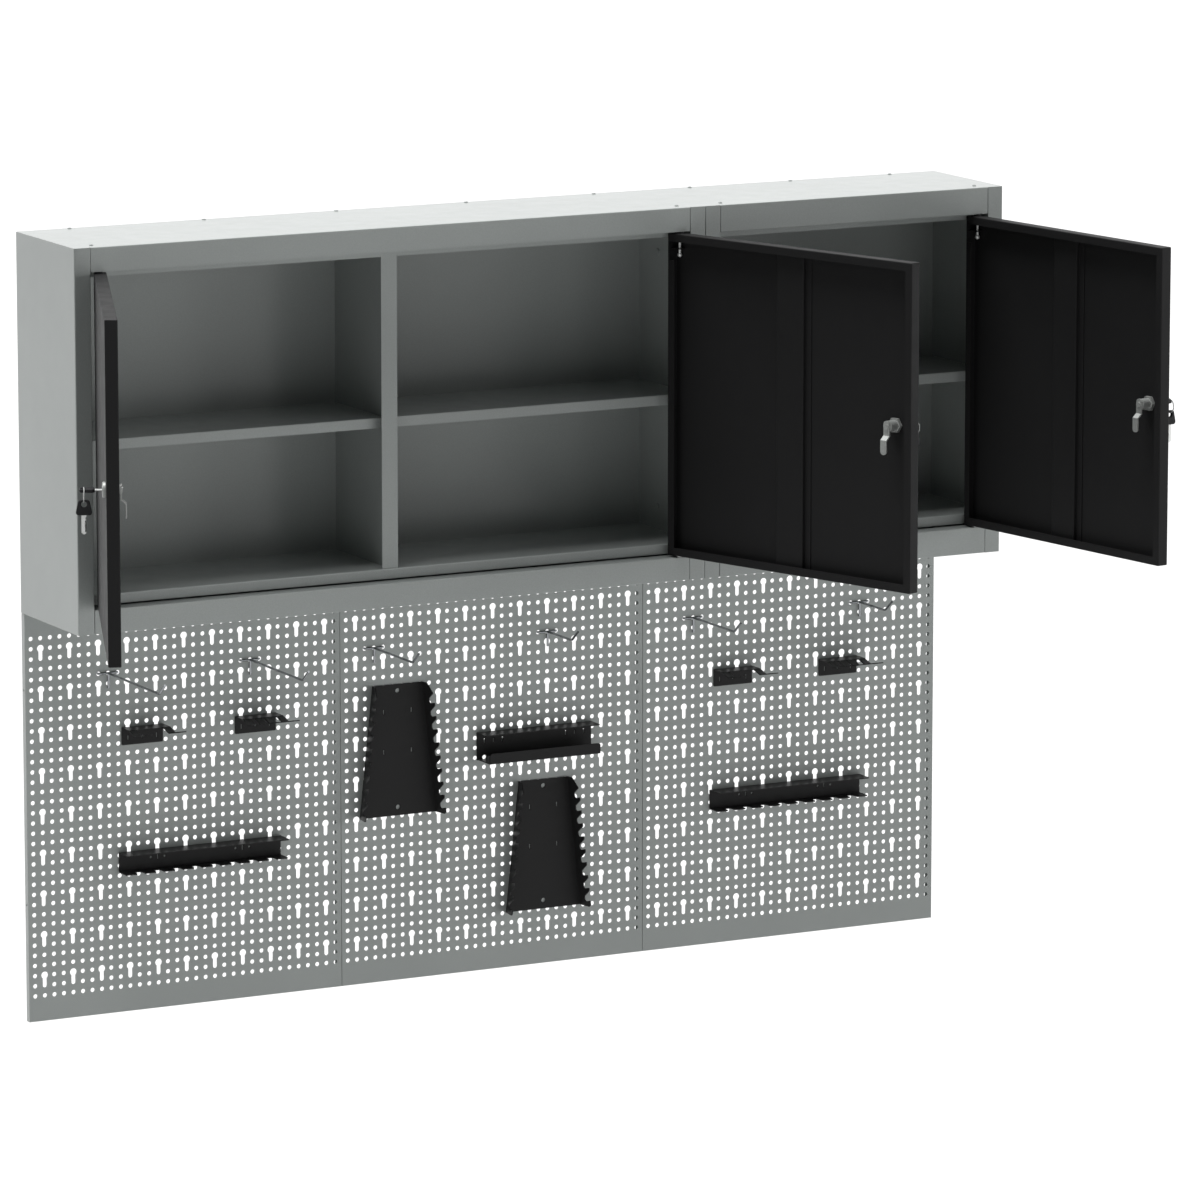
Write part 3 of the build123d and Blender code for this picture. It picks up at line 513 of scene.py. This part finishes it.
# %% Round the sheets
outer_radius = 0.0016
inner_radius = 0.0004
bend_segments = 4
round_profile = 0.5
weld_distance = 1e-6
flat_angle = math.radians(1)
smooth_angle = math.radians(35)
sheet_endings = ("_side", "_top", "_bottom", "_floor", "_back", "_divider", "_shelf", "_door",
                 "_stiffener", "_brackets", "_rack", "_tray")


def settle(piece, source):
    """Gives a new piece the finish and the body of a CAD part."""
    dress(piece, source.data.materials[0])
    scene.collection.objects.link(piece)
    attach(piece, source["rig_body"])
    return piece


def soften(mesh):
    """Smooth shading, apart from edges that turn by more than the smooth angle."""
    mesh.polygons.foreach_set("use_smooth", np.ones(len(mesh.polygons), bool))
    mesh.set_sharp_from_angle(angle=smooth_angle)


def rounded(source):
    """A copy of a sheet whose folds are arcs of the outer or the inner radius."""
    sheet = bmesh.new()
    sheet.from_mesh(source.data)
    bmesh.ops.remove_doubles(sheet, verts=sheet.verts, dist=weld_distance)
    bmesh.ops.dissolve_limit(sheet, angle_limit=flat_angle, verts=sheet.verts, edges=sheet.edges)
    bmesh.ops.recalc_face_normals(sheet, faces=sheet.faces)
    for convex, radius in ((True, outer_radius), (False, inner_radius)):
        for group in folds(sheet, convex):
            edges = [edge for edge in group if edge.is_valid]
            bmesh.ops.bevel(sheet, geom=edges, offset=radius, offset_type="OFFSET", segments=bend_segments,
                            profile=round_profile, affect="EDGES", clamp_overlap=True)
    open_edges = sum(1 for e in sheet.edges if len(e.link_faces) != 2)
    mesh = bpy.data.meshes.new(source.name + "_folded")
    sheet.to_mesh(mesh)
    sheet.free()
    soften(mesh)
    piece = settle(bpy.data.objects.new(mesh.name, mesh), source)
    even = piece.modifiers.new("even_shading", "WEIGHTED_NORMAL")
    even.keep_sharp = True
    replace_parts(piece, source.name)
    return len(mesh.polygons), open_edges


for name, source in nodes.items():
    if name.endswith(sheet_endings):
        print(name, rounded(source))

# %% [markdown]
# ## Small hardware
#
# A grid of points serves for all the small pieces: its rows are rings, which are joined by quads. The
# rows either close up on themselves, as on the bow of a key, or end in caps, as on a screw. Writing
# the points as formulas keeps every size in a named value, which a hand-made mesh would not.

# %% Ring surfaces
def ring_skin(rings, wrap):
    """Point (i, j) makes a quad with (i, j + 1), (i + 1, j + 1) and (i + 1, j); the columns close up."""
    rows, count, _ = rings.shape
    here = np.arange(rows * count).reshape(rows, count)
    beside = np.roll(here, -1, axis=1)
    quads = np.stack((here, beside, np.roll(beside, -1, axis=0), np.roll(here, -1, axis=0)), -1)
    faces = quads[: rows if wrap else rows - 1].reshape(-1, 4).tolist()
    if not wrap:
        faces += [here[0].tolist(), here[-1].tolist()]
    return rings.reshape(-1, 3), faces


def new_piece(name, parts, source):
    """One mesh from several lists of points and faces, with its faces turned outwards."""
    points, faces = [], []
    for part_points, part_faces in parts:
        start = sum(len(p) for p in points)
        points.append(part_points)
        faces += [[start + i for i in face] for face in part_faces]
    mesh = bpy.data.meshes.new(name)
    mesh.from_pydata(np.concatenate(points).tolist(), [], faces)
    shell = bmesh.new()
    shell.from_mesh(mesh)
    bmesh.ops.recalc_face_normals(shell, faces=shell.faces)
    shell.to_mesh(mesh)
    shell.free()
    soften(mesh)
    print(name, len(mesh.vertices), "points")
    return settle(bpy.data.objects.new(name, mesh), source)


def corner_points(source):
    """All points of a CAD part, one per row."""
    points = np.zeros(3 * len(source.data.vertices), np.float32)
    source.data.vertices.foreach_get("co", points)
    return points.reshape(-1, 3)


screws = nodes["cabinet_screws"]
print("points of the plain screws:", len(corner_points(screws)))

# %% [markdown]
# The roof screws are pan heads with a cross recess. The head is a low dome, and the recess is pressed
# into it where a point lies close to either arm of the cross. The shank's thread is a ridge whose height
# along the shank depends on the angle round it.

# %% Screw shape
screw_sides = 64
head_radius = 0.003
head_height = 0.0016
head_rim = ((0.7, 0.0), (0.93, 0.0), (1.0, 0.04), (1.0, 0.25))
dome_base = 0.3
dome_shares = (0.97, 0.02)
dome_rings = 26
recess_arm = 0.0017
recess_half = 0.00042
recess_depth = 0.0009
recess_wall = 0.00012
thread_pitch = 0.0009
thread_depth = 0.0003
thread_rings = 30

screw_turn = np.linspace(0, 2 * math.pi, screw_sides, endpoint=False)


def level_rings(radius, z):
    """Rings about an upright axis: x is the radius times cos turn, y is the radius times sin turn."""
    x, y = radius * np.cos(screw_turn), radius * np.sin(screw_turn)
    return np.stack(np.broadcast_arrays(x, y, z), -1)


def thread_surface(tip_z, seat_z, core):
    """The core less a saw of the thread's depth; its phase is height over pitch less the share of a turn."""
    z = np.linspace(tip_z, seat_z, thread_rings)[:, None]
    wave = (z / thread_pitch - screw_turn / (2 * math.pi)) % 1
    return level_rings(core - thread_depth * np.abs(2 * wave - 1), z)


def rim_surface(seat_z):
    """The head's underside and rim, as shares of its radius and its height."""
    share, rise = np.array(head_rim).T[:, :, None]
    return level_rings(head_radius * share, seat_z + head_height * rise)


def dome_surface(seat_z):
    """An ellipse over the rim, less the recess depth times a ramp of 0 to 1 at the walls of the cross."""
    share = np.linspace(*dome_shares, dome_rings)[:, None]
    radius = head_radius * share
    across = np.abs(radius * np.cos(screw_turn)), np.abs(radius * np.sin(screw_turn))
    in_arm = np.clip((recess_arm - np.maximum(*across)) / recess_wall, 0, 1)
    in_slot = np.clip((recess_half - np.minimum(*across)) / recess_wall, 0, 1)
    dome = seat_z + head_height * (dome_base + (1 - dome_base) * np.sqrt(1 - share**2))
    return level_rings(radius, dome - recess_depth * in_slot * in_arm)


print("rings of a screw:", thread_rings + len(head_rim) + dome_rings)

# %% Place the screws
screw_gap = 0.01
under_head = 0.001

places = corner_points(screws)
places = places[np.argsort(places[:, 0])]
gaps = np.flatnonzero(np.diff(places[:, 0]) > screw_gap) + 1
seat_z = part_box("wide_top")[1].z
made = []
for cluster in np.split(places, gaps):
    middle = (cluster.min(0) + cluster.max(0)) / 2
    shank = cluster[cluster[:, 2] < seat_z - under_head]
    core = (shank[:, 0].max() - shank[:, 0].min()) / 2
    thread = thread_surface(cluster[:, 2].min(), seat_z, core)
    rings = np.concatenate((thread, rim_surface(seat_z), dome_surface(seat_z)))
    made.append(ring_skin(rings + (middle[0], middle[1], 0), False))
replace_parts(new_piece("cross_recess_screws", made, screws), "cabinet_screws")
print("screws:", len(made))

# %% [markdown]
# Each lock holds a key, and a split ring joins it to the spare. Both keys have a black plastic bow,
# widest at the shoulder, with a round eye. The bow could be cut from a block with booleans. Here its
# outline and the eye are two rings with the same number of points, and the surface runs from one to the
# other over four rounded edges, so it stays one clean skin of quads.

# %% Bow outline
bow_wide = 0.024
bow_narrow = 0.015
bow_long = 0.021
bow_corner = 0.004
eye_radius = 0.004
eye_edge = 0.006
corner_steps = 12
bow_sides = 96


def bow_outline():
    """Trapezium with arcs at its corners, read at even angles round the eye's middle, and the eye."""
    wide, narrow = bow_wide / 2, bow_narrow / 2
    corners = np.array([(-wide, 0), (wide, 0), (narrow, bow_long), (-narrow, bow_long)])
    share = np.linspace(0, 1, corner_steps)[:, None]
    arcs = []
    for here, before, after in zip(corners, np.roll(corners, 1, axis=0), np.roll(corners, -1, axis=0)):
        a = (before - here) / np.linalg.norm(before - here)
        b = (after - here) / np.linalg.norm(after - here)
        half = math.acos(np.clip(a @ b, -1, 1)) / 2
        centre = here + (a + b) / np.linalg.norm(a + b) * bow_corner / math.sin(half)
        first = here + a * bow_corner / math.tan(half) - centre
        last = here + b * bow_corner / math.tan(half) - centre
        spokes = first * (1 - share) + last * share
        arcs.append(centre + spokes / np.linalg.norm(spokes, axis=1)[:, None] * bow_corner)
    edge = np.concatenate(arcs) - (0, bow_long - eye_edge)
    angle = np.unwrap(np.arctan2(edge[:, 1], edge[:, 0]))
    if angle[-1] < angle[0]:
        edge, angle = edge[::-1], angle[::-1]
    angle, edge = np.append(angle, angle[0] + 2 * math.pi), np.vstack((edge, edge[:1]))
    wanted = angle[0] + np.linspace(0, 2 * math.pi, bow_sides, endpoint=False)
    outline = np.stack([np.interp(wanted, angle, edge[:, k]) for k in (0, 1)], 1)
    eye = eye_radius * np.stack((np.cos(wanted), np.sin(wanted)), 1)
    return outline, eye


print("bow outline:", [round(v, 4) for v in np.ptp(bow_outline()[0], axis=0)])

# %% Bow
bow_thick = 0.005
bow_round = 0.0012
bow_bends = np.linspace(0, math.pi / 2, 5)


def bow_surface(place, across, length, thick):
    """Four quarter rounds: an edge is drawn in by 1 - cos and raised by sin of the bend, times the round."""
    outline, eye = bow_outline()
    tangent = np.roll(outline, -1, axis=0) - np.roll(outline, 1, axis=0)
    normal = np.stack((tangent[:, 1], -tangent[:, 0]), 1)
    normal /= np.linalg.norm(normal, axis=1)[:, None]
    spoke = eye / eye_radius
    half = bow_thick / 2 - bow_round
    rings = []
    for edge, inward, side, bends in (
        (outline, -normal, 1, bow_bends),
        (eye, spoke, 1, bow_bends[::-1]),
        (eye, spoke, -1, bow_bends),
        (outline, -normal, -1, bow_bends[::-1]),
    ):
        bend = bends[:, None, None]
        flat = edge + inward * bow_round * (1 - np.cos(bend))
        high = side * (half + bow_round * np.sin(bend))
        rings.append(place + flat[..., :1] * across + flat[..., 1:] * length + high * thick)
    return ring_skin(np.concatenate(rings), True)


print("rings of a bow:", 4 * len(bow_bends))

# %% [markdown]
# The blade is a flat steel bar with a row of notches, cut to different depths, and a pointed tip. Its
# outline is carried through its thickness in four steps, of which the outer two are drawn in a little,
# so the edges catch the light as a worn key's do.

# %% Blade
blade_wide = 0.007
blade_thick = 0.002
blade_point = 0.002
blade_section = ((0.93, -1.0), (1.0, -0.75), (1.0, 0.75), (0.93, 1.0))
tip_share = 0.3
notch_half = 0.0026
notch_floor = 0.0008
notch_shallow = 0.45
notch_step = 0.15
notch_depths = 3


def blade_surface(shoulder, across, length, thick, reach, notches):
    """A bar from the shoulder to its reach; notch i cuts a trapezium at share (i + 1) / (notches + 1)."""
    half = blade_wide / 2
    low = [(-half, 0.0)]
    for i in range(notches):
        centre = reach * (i + 1.0) / (notches + 1)
        floor_at = -half + half * (notch_shallow + notch_step * (i % notch_depths))
        low += [(-half, centre - notch_half), (floor_at, centre - notch_floor)]
        low += [(floor_at, centre + notch_floor), (-half, centre + notch_half)]
    tip = [(-half, reach - blade_point), (-half * tip_share, reach)]
    tip += [(half * tip_share, reach), (half, reach - blade_point)]
    edge = np.array(low + tip + [(half, 0.0)])
    share, high = np.array(blade_section).T[:, :, None, None]
    flat = edge[:, :1] * share * across + edge[:, 1:] * length
    return ring_skin(shoulder + flat + high * blade_thick / 2 * thick, False)


print("steps of a blade:", len(blade_section))

# %% [markdown]
# The split ring is flat spring wire that goes round almost twice. A torus would look closed, so the
# wire follows a helix that rises by half its width, and both of its ends show.

# %% Split ring
ring_radius = 0.010
ring_width = 0.0016
ring_turns = 1.97
ring_steps = 190
wire_sides = 14


def split_ring(middle, first, second, axle):
    """Spoke: cos t along first plus sin t along second. The wire's section is an ellipse round a helix."""
    angle = np.linspace(0, ring_turns * 2 * math.pi, ring_steps)[:, None, None]
    wire = np.linspace(0, 2 * math.pi, wire_sides, endpoint=False)[:, None]
    spoke = np.cos(angle) * first + np.sin(angle) * second
    rise = (angle / angle.max() - 0.5) * ring_width / 2
    out = ring_radius + ring_width / 2 * np.cos(wire)
    return ring_skin(middle + out * spoke + (rise + ring_width / 4 * np.sin(wire)) * axle, False)


print("ring across:", 2 * ring_radius + ring_width, "m")

# %% [markdown]
# Everything is placed from the axes of the model's own joints: the lock turns about the key, and the
# ring swings about its own middle. The key's blade ends where the plain key of the model ends, and the
# spare hangs as low as its bow's eye lets it on the ring. Bow and blade ride on the body of the part
# whose place they take, so they turn and swing with it.

# %% Keys and rings
spare_long = 0.026
key_notches = 4
spare_notches = 5
bow_below_eye = bow_long - eye_edge
up = np.array((0.0, 0.0, 1.0))
hang = math.sqrt(ring_radius**2 - bow_thick**2 / 4) - ring_width / 2 + eye_radius

joints = {joint["name"]: joint for joint in frame["joints"]}
for side in ("left", "middle", "right"):
    swing = joints[f"{side}_key_ring_swing"]
    lock = np.array(joints[f"{side}_lock_turn"]["pos_m"])
    middle = np.array(swing["pos_m"])
    outward = np.array(swing["axis"], float)
    run = middle - lock
    depth = run @ outward
    away = (run - depth * outward) * (1, 1, 0)
    away /= np.linalg.norm(away)

    key = nodes[f"{side}_key"]
    eye = lock + depth * outward
    shoulder = eye - outward * bow_below_eye
    in_lock = (corner_points(key) - lock) @ -outward
    blade_reach = in_lock.max() + (shoulder - lock) @ outward
    key_bow = bow_surface(eye, away, outward, up)
    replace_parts(new_piece(f"{side}_key_bow", [key_bow], key), key.name)
    key_blade = blade_surface(shoulder, away, -outward, up, blade_reach, key_notches)
    blade = new_piece(f"{side}_key_blade", [key_blade], key)
    dress(blade, zinc)

    spare = nodes[f"{side}_key_ring"]
    spare_eye = middle - hang * up
    spare_shoulder = spare_eye - bow_below_eye * up
    ring = split_ring(middle, away, up, outward)
    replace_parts(new_piece(f"{side}_split_ring", [ring], spare), spare.name)
    spare_blade = blade_surface(spare_shoulder, outward, -up, away, spare_long, spare_notches)
    new_piece(f"{side}_spare_blade", [spare_blade], spare)
    spare_bow = new_piece(f"{side}_spare_bow", [bow_surface(spare_eye, outward, up, away)], spare)
    dress(spare_bow, bow_plastic)
